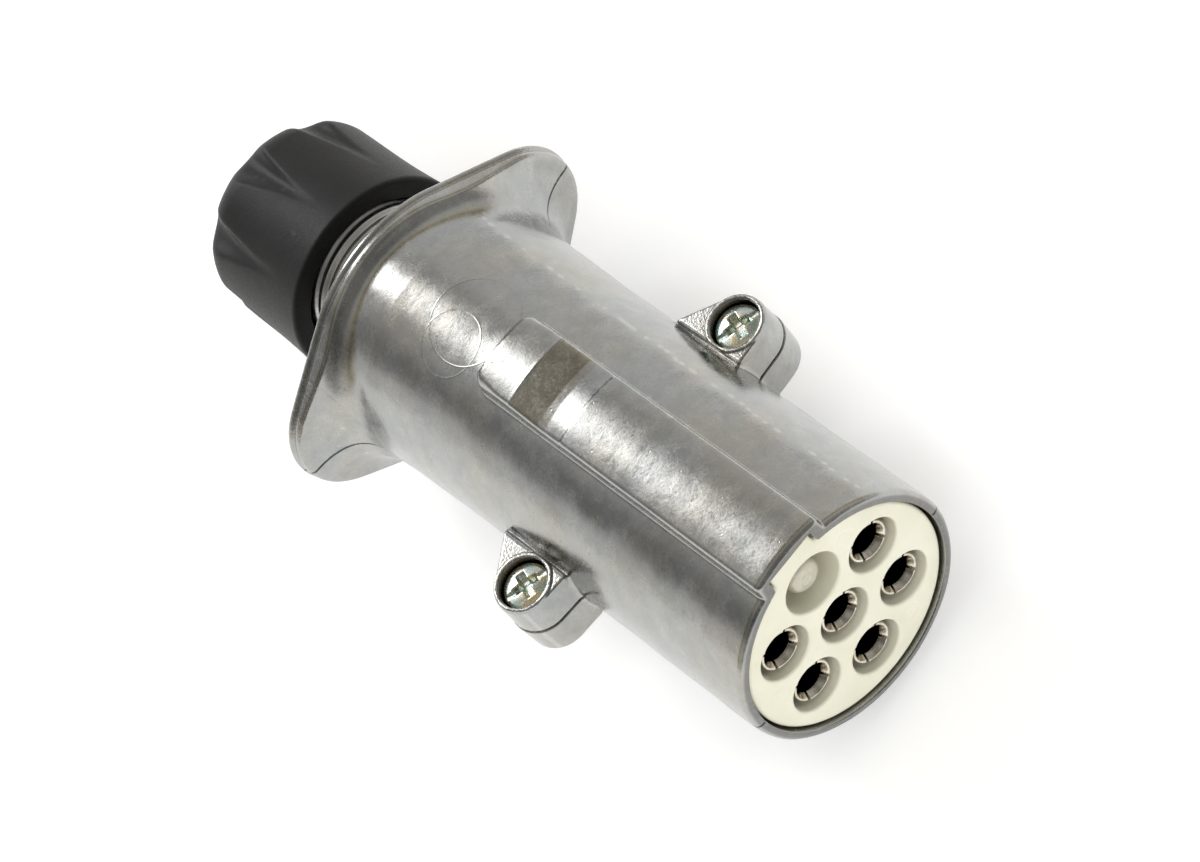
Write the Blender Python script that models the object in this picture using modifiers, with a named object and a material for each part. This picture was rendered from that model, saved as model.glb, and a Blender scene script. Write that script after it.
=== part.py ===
"""Seven-pole trailer wiring plug: two cast half shells, contact carrier, contacts, screws and gland nut.

Metres, +Z up. The mating face looks towards -Y, the cable leaves towards +Y and the key rib is on top.
Sizes below are millimetres in plug coordinates: x across, y from the mating face back, z up from the axis.
"""

import math

import bmesh
import bpy
from mathutils import Matrix, Vector

MM = 0.001
GAP = 0.3  # running gap kept between pieces that touch on the real plug

BARREL_RADIUS = 21.5
BARREL_FLARE = 0.6
RIM_CHAMFER = 0.4
SHELL_BORE = 19.8
CHAMBER_RADIUS = 19.3
SHOULDER_RADIUS = 18.2

CARRIER_FRONT = 0.8
CARRIER_BACK = 34.0
CARRIER_RADIUS = SHELL_BORE - 0.35
CARRIER_KEY_HALF = 4.5
CARRIER_KEY_TOP = 21.7

RIB_HALF = 7.0
RIB_BACK = 66.5
PAD_RADIUS = 24.9
RIB_RADIUS = 24.2
PAD_RIDGE = 57.5
SLOPE_FOOT = 49.5
STEP_LINE = 45.5
SLOPE_RADIUS = 23.8

SCREW_X = 26.0
SCREW_Y = 46.7
EAR_RADIUS = 5.2
EAR_TOP = 6.9
EAR_BOTTOM = -7.0
COUNTERBORE_RADIUS = 4.3
COUNTERBORE_FLOOR = 1.2
SCREW_BORE_RADIUS = 2.4

FLANGE_START = 78.0
FLANGE_FRONT = 98.5
FLANGE_BACK = 101.9
FLANGE_RADIUS = 24.2
WING_RADIUS = 13.0
WING_X = 19.9
FLANGE_BEAD = 0.3
FILLET_POWER = 9.0

NECK_CORE = 12.9
NECK_RADIUS = 13.8
THREAD_PITCH = 2.0
THREAD_BACK = 114.5
NECK_BACK = 125.0
NECK_BORE = 9.5
GROMMET_BORE = 11.5
GROMMET_FRONT = 112.0

NUT_FRONT = 114.0
NUT_BACK = 142.2
NUT_RADIUS = 18.3
NUT_BODY_RADIUS = 17.7
NUT_BORE = NECK_RADIUS + 0.4
NUT_SHOULDER = 131.0
NUT_CORNER_LENGTH = 6.7
NUT_CORNER_HEIGHT = 8.0
CABLE_OPENING = 6.8
FLUTES = 8
FLUTE_RADIUS = 4.0
FLUTE_DEPTH = 2.0
FLUTE_LENGTH = 20.0
FLUTE_PHASE = 3.0

PITCH_CIRCLE = 12.0
CONTACT_RADIUS = 3.7
SOCKET_BORE = 2.55
PIN_RADIUS = 3.0
SOCKET_WELL = 4.75
PIN_WELL = 5.3
CONTACT_FRONT = 3.0
CONTACT_BACK = 46.0
PIN_TIP = 2.2
WELL_FLOOR = 11.0
TERMINAL_Y = 41.0
CLAMP_SHANK = 1.25
CLAMP_HEAD = 1.9

PARTING = 0.15
AXIS_HEIGHT = FLANGE_RADIUS + FLANGE_BEAD
LENGTH = NUT_BACK


def cleared_scene():
    for thing in list(bpy.data.objects):
        bpy.data.objects.remove(thing, do_unlink=True)


def new_collection(name, hidden):
    made = bpy.data.collections.new(name)
    bpy.context.scene.collection.children.link(made)
    made.hide_render = hidden
    return made


def material(name, colour, roughness, metallic):
    made = bpy.data.materials.new(name)
    made.use_nodes = True
    shader = made.node_tree.nodes["Principled BSDF"]
    shader.inputs["Base Color"].default_value = (*colour, 1.0)
    shader.inputs["Roughness"].default_value = roughness
    shader.inputs["Metallic"].default_value = metallic
    return made


cleared_scene()
PARTS = new_collection("trailer_plug", False)
CUTTERS = new_collection("cutters", True)

MATERIALS = {
    "cast": material("die_cast_aluminium", (0.62, 0.62, 0.60), 0.3, 1.0),
    "carrier": material("cream_plastic", (0.86, 0.83, 0.72), 0.5, 0.0),
    "nickel": material("nickel_contact", (0.66, 0.63, 0.57), 0.25, 1.0),
    "zinc": material("zinc_plated_steel", (0.62, 0.66, 0.62), 0.3, 1.0),
    "black": material("black_plastic", (0.03, 0.03, 0.032), 0.6, 0.0),
    "rubber": material("rubber", (0.02, 0.02, 0.02), 0.8, 0.0),
}

AXIS = bpy.data.objects.new("plug_axis", None)
AXIS.location = (0.0, -LENGTH / 2 * MM, AXIS_HEIGHT * MM)
PARTS.objects.link(AXIS)


def placed(name, mesh, look, at=(0.0, 0.0, 0.0), turn=(0.0, 0.0, 0.0), parent=AXIS):
    """Links a mesh as a part, or as a cutter where it has no look, at plug coordinates."""
    made = bpy.data.objects.new(name, mesh)
    made.location = Vector(at) * MM
    made.rotation_euler = turn
    made.parent = parent
    if look is None:
        CUTTERS.objects.link(made)
        made.display_type = "WIRE"
        made.hide_render = True
        return made
    PARTS.objects.link(made)
    if not mesh.materials:
        mesh.materials.append(MATERIALS[look])
    return made


ALONG_Y = (-math.pi / 2, 0.0, 0.0)  # turns a shape made along local z to run back along the plug


def turned(name, outline, look, steps, at=(0.0, 0.0, 0.0), turn=ALONG_Y, parent=AXIS):
    """A turned piece. The outline holds (radius, height) and runs down the outer side."""
    mesh = bpy.data.meshes.new(name)
    points = [(radius * MM, 0.0, height * MM) for radius, height in outline]
    links = [(i, i + 1) for i in range(len(points) - 1)]
    if outline[0][0] > 0.0:
        links.append((len(points) - 1, 0))
    mesh.from_pydata(points, links, [])
    made = placed(name, mesh, look, at, turn, parent)
    screw = made.modifiers.new("turn", "SCREW")
    screw.axis = "Z"
    screw.angle = 2 * math.pi
    screw.steps = steps
    screw.render_steps = steps
    screw.use_merge_vertices = True
    screw.merge_threshold = 0.00001
    return made


def block(name, low, high, parent=AXIS, at=(0.0, 0.0, 0.0), turn=(0.0, 0.0, 0.0)):
    """A box cutter between two corners."""
    mesh = bpy.data.meshes.new(name)
    shape = bmesh.new()
    size = Vector(high) - Vector(low)
    middle = (Vector(high) + Vector(low)) / 2
    fit = Matrix.Translation(middle * MM) @ Matrix.Diagonal((*(size * MM), 1.0))
    bmesh.ops.create_cube(shape, size=1.0, matrix=fit)
    shape.to_mesh(mesh)
    shape.free()
    return placed(name, mesh, None, at, turn, parent)


def rods(name, places, radius, low, high, steps):
    """One cutter of parallel rods along y, at (x, z) places."""
    mesh = bpy.data.meshes.new(name)
    shape = bmesh.new()
    for x, z in places:
        middle = Vector((x, (low + high) / 2, z)) * MM
        fit = Matrix.Translation(middle) @ Matrix.Rotation(math.pi / 2, 4, "X")
        bmesh.ops.create_cone(
            shape,
            cap_ends=True,
            segments=steps,
            radius1=radius * MM,
            radius2=radius * MM,
            depth=(high - low) * MM,
            matrix=fit,
        )
    shape.to_mesh(mesh)
    shape.free()
    return placed(name, mesh, None)


def hull_prism(name, circles, low, high):
    """A prism between two heights around circles given as (x, y, radius)."""
    mesh = bpy.data.meshes.new(name)
    shape = bmesh.new()
    for x, y, radius in circles:
        for step in range(24):
            angle = step * math.tau / 24
            across = x + radius * math.cos(angle)
            back = y + radius * math.sin(angle)
            for height in (low, high):
                shape.verts.new(Vector((across, back, height)) * MM)
    bmesh.ops.convex_hull(shape, input=shape.verts)
    loose = [v for v in shape.verts if not v.link_faces]
    bmesh.ops.delete(shape, geom=loose, context="VERTS")
    bmesh.ops.dissolve_limit(shape, angle_limit=0.01, verts=shape.verts, edges=shape.edges)
    bmesh.ops.recalc_face_normals(shape, faces=shape.faces)
    shape.to_mesh(mesh)
    shape.free()
    return placed(name, mesh, None)


def combined(target, other, operation):
    step = target.modifiers.new(operation.lower(), "BOOLEAN")
    step.operation = operation
    step.object = other
    step.solver = "EXACT"


def smooth(mesh, angle=35.0):
    mesh.shade_smooth()
    mesh.set_sharp_from_angle(angle=math.radians(angle))


def clock(angle, radius=PITCH_CIRCLE):
    """The (x, z) of a place at a clock angle in degrees, from the key, clockwise as the face is seen."""
    turn = math.radians(angle)
    return radius * math.sin(turn), radius * math.cos(turn)


# Cast shell -------------------------------------------------------------------------------------


def flange_outline(angle):
    """Radius at an angle from +x of the finger flange: round, with a wing each side and straight edges between."""
    across = abs(math.cos(angle))
    up = abs(math.sin(angle))
    steep = math.acos((FLANGE_RADIUS - WING_RADIUS) / WING_X)
    wing_end = math.atan2(WING_RADIUS * math.sin(steep), WING_X + WING_RADIUS * math.cos(steep))
    quarter = math.atan2(up, across)
    if quarter < wing_end:
        return WING_X * across + math.sqrt(WING_RADIUS**2 - (WING_X * up) ** 2)
    if quarter < steep:
        return FLANGE_RADIUS / math.cos(quarter - steep)
    return FLANGE_RADIUS


def barrel_radius(y):
    flare = min(max((y - 62.0) / 28.0, 0.0), 1.0)
    return BARREL_RADIUS + BARREL_FLARE * flare * flare


def shell_sections():
    """The shell's outer sections from front to back: (y, function from angle to radius)."""
    sections = [
        (0.0, lambda angle: BARREL_RADIUS - RIM_CHAMFER),
        (RIM_CHAMFER, lambda angle: BARREL_RADIUS),
        (60.0, lambda angle: BARREL_RADIUS),
        (FLANGE_START, lambda angle: barrel_radius(FLANGE_START)),
    ]
    for part in (0.5, 0.68, 0.78, 0.85, 0.9, 0.94, 0.97, 1.0):
        y = FLANGE_START + part * (FLANGE_FRONT - FLANGE_START)
        rise = part**FILLET_POWER
        start = barrel_radius(y)
        sections.append((y, lambda angle, s=start, k=rise: s + (flange_outline(angle) - s) * k))
    for back, grow in ((0.8, FLANGE_BEAD), (2.6, FLANGE_BEAD), (3.4, -0.5)):
        sections.append((FLANGE_FRONT + back, lambda angle, g=grow: flange_outline(angle) + g))
    ridge = FLANGE_BACK + 0.6
    sections.append((FLANGE_BACK, lambda angle: NECK_CORE))
    while ridge < THREAD_BACK:
        for back, radius in ((0.0, NECK_CORE), (0.45, NECK_RADIUS), (1.5, NECK_RADIUS)):
            sections.append((ridge + back, lambda angle, r=radius: r))
        ridge += THREAD_PITCH
    sections.append((NECK_BACK - 0.8, lambda angle: NECK_RADIUS))
    sections.append((NECK_BACK, lambda angle: NECK_CORE))
    return sections


def shell_mesh(steps=56):
    """The whole outside of the casting, lofted through its sections."""
    mesh = bpy.data.meshes.new("casting")
    shape = bmesh.new()
    rings = []
    for y, radius_at in shell_sections():
        ring = []
        for step in range(steps):
            angle = step * math.tau / steps
            radius = radius_at(angle)
            ring.append(shape.verts.new(Vector((radius * math.cos(angle), y, radius * math.sin(angle))) * MM))
        rings.append(ring)
    for front, back in zip(rings, rings[1:]):
        for i in range(steps):
            j = (i + 1) % steps
            shape.faces.new((front[i], back[i], back[j], front[j]))
    shape.faces.new(rings[0])
    shape.faces.new(list(reversed(rings[-1])))
    bmesh.ops.recalc_face_normals(shape, faces=shape.faces)
    shape.to_mesh(mesh)
    shape.free()
    smooth(mesh, 25.0)
    return mesh


def rib_cutter():
    """The key rib: a turned pad, slope and front part, kept between two flat sides."""
    outline = [
        (16.0, RIB_BACK),
        (PAD_RADIUS - 0.6, RIB_BACK),
        (PAD_RADIUS, RIB_BACK - 0.6),
        (PAD_RADIUS, PAD_RIDGE),
        (SLOPE_RADIUS, SLOPE_FOOT),
        (RIB_RADIUS, STEP_LINE),
        (RIB_RADIUS, 0.35),
        (RIB_RADIUS - 0.35, 0.0),
        (16.0, 0.0),
    ]
    rib = turned("rib_turned", outline, None, 72)
    sides = block("rib_sides", (-RIB_HALF, -1.0, 15.0), (RIB_HALF, RIB_BACK, 27.0))
    corners = sides.modifiers.new("corners", "BEVEL")
    corners.width = 1.6 * MM
    corners.segments = 3
    corners.limit_method = "VGROUP"
    upright = sides.vertex_groups.new(name="rear_corners")
    upright.add([v.index for v in sides.data.vertices if v.co.y > 0.01], 1.0, "REPLACE")
    corners.vertex_group = "rear_corners"
    combined(rib, sides, "INTERSECT")
    return rib


def cavity_cutter():
    outline = [
        (0.0, NECK_BACK + 1.0),
        (GROMMET_BORE, NECK_BACK + 1.0),
        (GROMMET_BORE, GROMMET_FRONT - GAP),
        (NECK_BORE, GROMMET_FRONT - GAP),
        (NECK_BORE, 101.0),
        (CHAMBER_RADIUS, 91.0),
        (CHAMBER_RADIUS, CARRIER_BACK + GAP + 2.0),
        (SHOULDER_RADIUS, CARRIER_BACK + GAP + 2.0),
        (SHOULDER_RADIUS, CARRIER_BACK + GAP),
        (SHELL_BORE, CARRIER_BACK + GAP),
        (SHELL_BORE, -1.0),
        (0.0, -1.0),
    ]
    return turned("cavity", outline, None, 48)


def ear_cutters():
    """Solid ears, counterbores and screw bores of both sides."""
    ears = []
    wells = []
    bores = []
    for side, sign in (("right", 1.0), ("left", -1.0)):
        x = sign * SCREW_X
        circles = ((x, SCREW_Y, EAR_RADIUS), (sign * 19.0, 56.6, 0.8), (sign * 19.0, 42.4, 1.2))
        ears.append(hull_prism("ear_" + side, circles, EAR_BOTTOM, EAR_TOP))
        well = [(0.0, EAR_TOP + 1.0), (COUNTERBORE_RADIUS, EAR_TOP + 1.0)]
        well += [(COUNTERBORE_RADIUS, COUNTERBORE_FLOOR), (0.0, COUNTERBORE_FLOOR)]
        wells.append(turned("well_" + side, well, None, 32, at=(x, SCREW_Y, 0.0), turn=(0.0, 0.0, 0.0)))
        bore = [(0.0, 4.0), (SCREW_BORE_RADIUS, 4.0), (SCREW_BORE_RADIUS, -9.0), (0.0, -9.0)]
        bores.append(turned("bore_" + side, bore, None, 20, at=(x, SCREW_Y, 0.0), turn=(0.0, 0.0, 0.0)))
    return ears, wells + bores


def cast_shells():
    casting = shell_mesh()
    rib = rib_cutter()
    cavity = cavity_cutter()
    ears, holes = ear_cutters()
    key = CARRIER_KEY_HALF + GAP
    groove = block("key_groove", (-key, -1.0, 10.0), (key, CARRIER_BACK + GAP, CARRIER_KEY_TOP + GAP))
    halves = (
        ("upper_shell", block("below", (-50.0, -5.0, -50.0), (50.0, 160.0, PARTING))),
        ("lower_shell", block("above", (-50.0, -5.0, -PARTING), (50.0, 160.0, 50.0))),
    )
    for name, waste in halves:
        shell = placed(name, casting, "cast")
        if name == "upper_shell":
            combined(shell, rib, "UNION")
        for ear in ears:
            combined(shell, ear, "UNION")
        combined(shell, cavity, "DIFFERENCE")
        if name == "upper_shell":
            combined(shell, groove, "DIFFERENCE")
        for hole in holes:
            combined(shell, hole, "DIFFERENCE")
        combined(shell, waste, "DIFFERENCE")


# Contacts and carrier ---------------------------------------------------------------------------


def contact_places():
    """(name, x, z, clock angle of its clamp screw) of the six sockets and the pin."""
    places = [("socket_contact_1", 0.0, 0.0, 30.0)]
    for number, angle in enumerate((60.0, 120.0, 180.0, 240.0, 300.0), start=2):
        places.append((f"socket_contact_{number}", *clock(angle), angle))
    places.append(("pin_contact", *clock(0.0), 0.0))
    return places


def contact_carrier():
    outline = [
        (0.0, CARRIER_BACK),
        (CARRIER_RADIUS, CARRIER_BACK),
        (CARRIER_RADIUS, CARRIER_FRONT + 0.3),
        (CARRIER_RADIUS - 0.3, CARRIER_FRONT),
        (0.0, CARRIER_FRONT),
    ]
    carrier = turned("contact_carrier", outline, "carrier", 48)
    key_low = (-CARRIER_KEY_HALF, CARRIER_FRONT, 15.0)
    key_high = (CARRIER_KEY_HALF, CARRIER_BACK - 1.0, CARRIER_KEY_TOP)
    combined(carrier, block("carrier_key", key_low, key_high), "UNION")
    sockets = [(x, z) for name, x, z, turn in contact_places() if name != "pin_contact"]
    pin = [clock(0.0)]
    combined(carrier, rods("seats", sockets + pin, CONTACT_RADIUS + GAP, -2.0, 50.0, 20), "DIFFERENCE")
    combined(carrier, rods("wells", sockets, SOCKET_WELL, -2.0, WELL_FLOOR, 20), "DIFFERENCE")
    combined(carrier, rods("pin_well", pin, PIN_WELL, -2.0, WELL_FLOOR, 20), "DIFFERENCE")


def terminal_cuts(contact, name, x, z, turn):
    """The wire hole in the back of a contact and the hole of its clamp screw."""
    wire = [(0.0, CONTACT_BACK + 2.0), (2.0, CONTACT_BACK + 2.0), (2.0, 35.0), (0.0, 35.0)]
    combined(contact, turned(name + "_wire_hole", wire, None, 12, at=(x, 0.0, z)), "DIFFERENCE")
    clamp = [(0.0, 6.0), (CLAMP_SHANK + GAP, 6.0), (CLAMP_SHANK + GAP, 0.0), (0.0, 0.0)]
    hole = turned(
        name + "_clamp_hole",
        clamp,
        None,
        12,
        at=(x, TERMINAL_Y, z),
        turn=(0.0, math.radians(turn), 0.0),
    )
    combined(contact, hole, "DIFFERENCE")


def clamp_screw(name, x, z, turn):
    """A slotted clamp screw with its axis square to the contact."""
    outline = [(0.0, 5.9), (CLAMP_HEAD, 5.9), (CLAMP_HEAD, 4.0), (CLAMP_SHANK, 4.0), (CLAMP_SHANK, 1.2), (0.0, 1.2)]
    turn_to = (0.0, math.radians(turn), 0.0)
    screw = turned(name, outline, "zinc", 12, at=(x, TERMINAL_Y, z), turn=turn_to)
    slot = block(name + "_slot", (-3.0, -0.35, 5.1), (3.0, 0.35, 7.0), at=(x, TERMINAL_Y, z), turn=turn_to)
    combined(screw, slot, "DIFFERENCE")


def contacts():
    for number, (name, x, z, turn) in enumerate(contact_places(), start=1):
        if name == "pin_contact":
            outline = [
                (0.0, CONTACT_BACK),
                (CONTACT_RADIUS, CONTACT_BACK),
                (CONTACT_RADIUS, WELL_FLOOR + 1.0),
                (PIN_RADIUS, WELL_FLOOR + 1.0),
                (PIN_RADIUS, PIN_TIP + 1.2),
                (PIN_RADIUS - 0.35, PIN_TIP + 0.45),
                (PIN_RADIUS - 1.0, PIN_TIP),
                (0.0, PIN_TIP),
            ]
            contact = turned(name, outline, "nickel", 16, at=(x, 0.0, z))
        else:
            outline = [
                (0.0, CONTACT_BACK),
                (CONTACT_RADIUS, CONTACT_BACK),
                (CONTACT_RADIUS, CONTACT_FRONT),
                (SOCKET_BORE + 0.6, CONTACT_FRONT),
                (SOCKET_BORE, CONTACT_FRONT + 0.9),
                (SOCKET_BORE, 24.0),
                (0.0, 24.0),
            ]
            contact = turned(name, outline, "nickel", 16, at=(x, 0.0, z))
            for tag, tilt in (("a", math.pi / 4), ("b", -math.pi / 4)):
                low = (-5.0, CONTACT_FRONT - 1.0, -0.3)
                high = (5.0, 16.0, 0.3)
                slot = block(f"{name}_slot_{tag}", low, high, at=(x, 0.0, z), turn=(0.0, tilt, 0.0))
                combined(contact, slot, "DIFFERENCE")
        terminal_cuts(contact, name, x, z, turn)
        clamp_screw(f"terminal_screw_{number}", x, z, turn)


# Shell screws and cable gland -------------------------------------------------------------------


def shell_screws():
    for side, sign in (("right", 1.0), ("left", -1.0)):
        at = (sign * SCREW_X, SCREW_Y, 0.0)
        floor = COUNTERBORE_FLOOR + GAP
        washer = [(3.6, floor + 0.8), (3.6, floor), (2.3, floor), (2.3, floor + 0.8)]
        turned("lock_washer_" + side, washer, "zinc", 24, at=at, turn=(0.0, 0.0, 0.0))
        seat = floor + 0.8 + GAP
        head = [
            (0.0, seat + 2.3),
            (3.3, seat + 2.3),
            (3.8, seat + 1.8),
            (3.8, seat),
            (2.0, seat),
            (2.0, EAR_BOTTOM + 1.0),
            (1.6, EAR_BOTTOM + 0.6),
            (0.0, EAR_BOTTOM + 0.6),
        ]
        screw = turned("shell_screw_" + side, head, "zinc", 24, at=at, turn=(0.0, 0.0, 0.0))
        for tag, half, width, depth in (("slot", 5.0, 0.45, 0.9), ("cross", 2.3, 0.45, 1.6), ("bar", 2.3, 0.45, 1.6)):
            angle = math.pi / 2 if tag == "bar" else 0.0
            name = f"screw_{side}_{tag}"
            low = (-half, -width, seat + 2.3 - depth)
            cut = block(name, low, (half, width, seat + 4.0), at=at, turn=(0.0, 0.0, angle))
            combined(screw, cut, "DIFFERENCE")


def gland_nut():
    back = NUT_BACK
    front = NUT_FRONT
    outline = [(CABLE_OPENING + 0.8, back)]
    for step in range(6):
        turn = step * math.pi / 10
        radius = NUT_BODY_RADIUS - NUT_CORNER_HEIGHT * (1.0 - math.sin(turn))
        outline.append((radius, back - NUT_CORNER_LENGTH * (1.0 - math.cos(turn))))
    outline += [
        (NUT_BODY_RADIUS, front + 10.0),
        (NUT_RADIUS, front + 0.5),
        (NUT_RADIUS - 0.5, front),
        (NUT_BORE, front),
        (NUT_BORE, NUT_SHOULDER),
        (CABLE_OPENING, NUT_SHOULDER),
        (CABLE_OPENING, back - 2.0),
    ]
    nut = turned("gland_nut", outline, "black", 48)
    mesh = bpy.data.meshes.new("flutes")
    shape = bmesh.new()
    lean = math.atan2(FLUTE_DEPTH, FLUTE_LENGTH)
    for step in range(FLUTES):
        around = Matrix.Rotation(math.radians(FLUTE_PHASE) + step * math.tau / FLUTES, 4, "Y")
        deep_end = Vector((0.0, back, NUT_BODY_RADIUS + FLUTE_RADIUS - FLUTE_DEPTH)) * MM
        tilt = Matrix.Rotation(math.pi / 2 - lean, 4, "X")
        bmesh.ops.create_cone(
            shape,
            cap_ends=True,
            segments=16,
            radius1=FLUTE_RADIUS * MM,
            radius2=FLUTE_RADIUS * MM,
            depth=2.4 * FLUTE_LENGTH * MM,
            matrix=around @ Matrix.Translation(deep_end) @ tilt,
        )
    shape.to_mesh(mesh)
    shape.free()
    combined(nut, placed("flutes", mesh, None), "DIFFERENCE")


def cable_seal():
    front = GROMMET_FRONT
    back = NUT_SHOULDER - GAP - 1.0 - GAP
    grommet = [
        (11.0, back),
        (GROMMET_BORE - GAP, back - 0.6),
        (GROMMET_BORE - GAP, front + 2.0),
        (GROMMET_BORE - GAP - 1.0, front),
        (5.6, front),
        (5.6, back),
    ]
    turned("cable_grommet", grommet, "rubber", 36)
    washer = [(13.0, back + GAP + 1.0), (13.0, back + GAP), (7.2, back + GAP), (7.2, back + GAP + 1.0)]
    turned("thrust_washer", washer, "zinc", 36)


cast_shells()
contact_carrier()
contacts()
shell_screws()
gland_nut()
cable_seal()
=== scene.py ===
"""Looks of a seven-pole trailer plug: cast half shells, contact carrier, contacts, screws, gland nut.

Each detailed piece is a signed distance field in plug millimetres (x across, y back from the mating
face, z up from the axis), sampled on a grid and turned into quads, which gives the soft edges of cast
and moulded parts. The washers, grommet and terminal screws keep their CAD shapes.
"""

import math

import bpy
import numpy as np
from mathutils import Matrix, Vector


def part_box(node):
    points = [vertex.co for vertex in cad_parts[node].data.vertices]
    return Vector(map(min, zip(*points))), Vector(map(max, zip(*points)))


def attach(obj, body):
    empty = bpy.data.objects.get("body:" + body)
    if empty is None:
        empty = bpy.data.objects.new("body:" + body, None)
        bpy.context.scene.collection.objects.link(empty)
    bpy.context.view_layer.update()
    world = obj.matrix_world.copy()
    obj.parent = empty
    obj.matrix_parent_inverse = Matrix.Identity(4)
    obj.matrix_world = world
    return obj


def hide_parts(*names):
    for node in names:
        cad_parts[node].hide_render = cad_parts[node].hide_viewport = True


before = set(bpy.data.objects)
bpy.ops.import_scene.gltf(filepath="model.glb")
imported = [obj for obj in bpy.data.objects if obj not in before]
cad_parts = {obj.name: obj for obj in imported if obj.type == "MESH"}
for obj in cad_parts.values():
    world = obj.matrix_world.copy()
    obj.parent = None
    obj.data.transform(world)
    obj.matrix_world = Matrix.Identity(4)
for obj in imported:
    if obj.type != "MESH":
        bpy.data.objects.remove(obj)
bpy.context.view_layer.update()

MM = 0.001
RIM_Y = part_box("upper_shell")[0].y / MM
AXIS_Z = (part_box("gland_nut")[0].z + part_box("gland_nut")[1].z) / 2 / MM
ORIGIN = np.array((0.0, RIM_Y, AXIS_Z))  # of plug coordinates, in frame millimetres

# Camera, fitted to the photograph, in plug millimetres
CAMERA_AT = (-50.47, -380.88, 572.44)
CAMERA_RIGHT = (0.6317, -0.6409, -0.4360)
CAMERA_UP = (0.7720, 0.4689, 0.4291)
CAMERA_BACK = (-0.0706, -0.6077, 0.7910)
CAMERA_LENS = 137.8

# Sizes in millimetres
BARREL_RADIUS = 21.5
BARREL_FLARE = 0.6
SHELL_BORE = 19.8
RIB_HALF = 7.0
RIB_BACK = 66.5
RIB_PROFILE_Y = (0.0, 45.3, 45.9, 48.6, 49.5, 51.0, 56.1, 57.0, 57.4, 58.0, 80.0)
RIB_PROFILE_R = (23.85, 24.22, 24.02, 23.93, 23.90, 23.97, 24.69, 24.80, 25.02, 24.96, 24.9)
KEY_HALF = 4.5
KEY_TOP = 21.7
SCREW_X = 26.0
SCREW_Y = 46.7
EAR_CIRCLES = ((26.0, 46.7, 5.2), (19.0, 56.6, 0.8), (19.0, 42.4, 1.2))
EAR_INNER = 21.1
EAR_TOP = 6.9
EAR_BOTTOM = -7.0
WELL_RADIUS = 4.3
WELL_FLOOR_Z = 1.2
FLANGE_FRONT = 98.5
FLANGE_BACK = 101.9
FLANGE_RADIUS = 24.2
WING_RADIUS = 13.0
WING_X = 19.9
NECK_CORE = 13.25
NECK_RADIUS = 13.8
THREAD_PITCH = 2.0
NECK_BACK = 125.0
PARTING_HALF = 0.1
CARRIER_FRONT = 0.8
CARRIER_BACK = 34.0
CARRIER_RADIUS = 19.45
PITCH_CIRCLE = 12.0
CONTACT_RADIUS = 3.7
CONTACT_FRONT = 2.0
CONTACT_BACK = 46.0
SOCKET_BORE = 2.55
SOCKET_WELL = 4.75
PIN_RADIUS = 3.0
PIN_WELL = 5.3
PIN_TIP = 2.2
CONTACT_WELL_FLOOR = 11.0
TERMINAL_Y = 41.0
NUT_FRONT = 114.0
NUT_BACK = 142.2
NUT_MOUTH = 18.3
NUT_BODY = 17.7
NUT_FLARE_LENGTH = 14.0
NUT_BORE = 14.2
NUT_SHOULDER = 131.0
NUT_CORNER_LENGTH = 6.7
NUT_CORNER_HEIGHT = 8.0
CABLE_OPENING = 6.8
FLUTES = 8
FLUTE_TIP = 126.5
FLUTE_DEPTH = 3.0
FLUTE_LEAN = 0.4


# Fields -----------------------------------------------------------------------------------------


def smooth_min(a, b, k):
    """The smaller of two fields, with a fillet of size k where they meet."""
    h = np.maximum(k - np.abs(a - b), 0.0) / k
    return np.minimum(a, b) - h * h * k / 4


def smooth_max(a, b, k):
    return -smooth_min(-a, -b, k)


def ease(low, high, value):
    t = np.clip((value - low) / (high - low), 0.0, 1.0)
    return t * t * (3 - 2 * t)


def graded(*spans):
    """Grid lines along one axis, from spans (start, end, step)."""
    lines = [np.arange(start, end - step / 2, step) for start, end, step in spans]
    return np.concatenate(lines + [[spans[-1][1]]])


def even(low, high, step):
    return np.linspace(low, high, int(round((high - low) / step)) + 1)


def sampled(field, axes):
    """The field at every grid point, a slab of y at a time."""
    x, y, z = axes
    slabs = []
    for start in range(0, len(y), 40):
        part = field(x[:, None, None], y[None, start : start + 40, None], z[None, None, :])
        shape = (len(x), len(y[start : start + 40]), len(z))
        slabs.append(np.broadcast_to(part, shape).astype(np.float32))
    return np.concatenate(slabs, axis=1)


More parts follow.
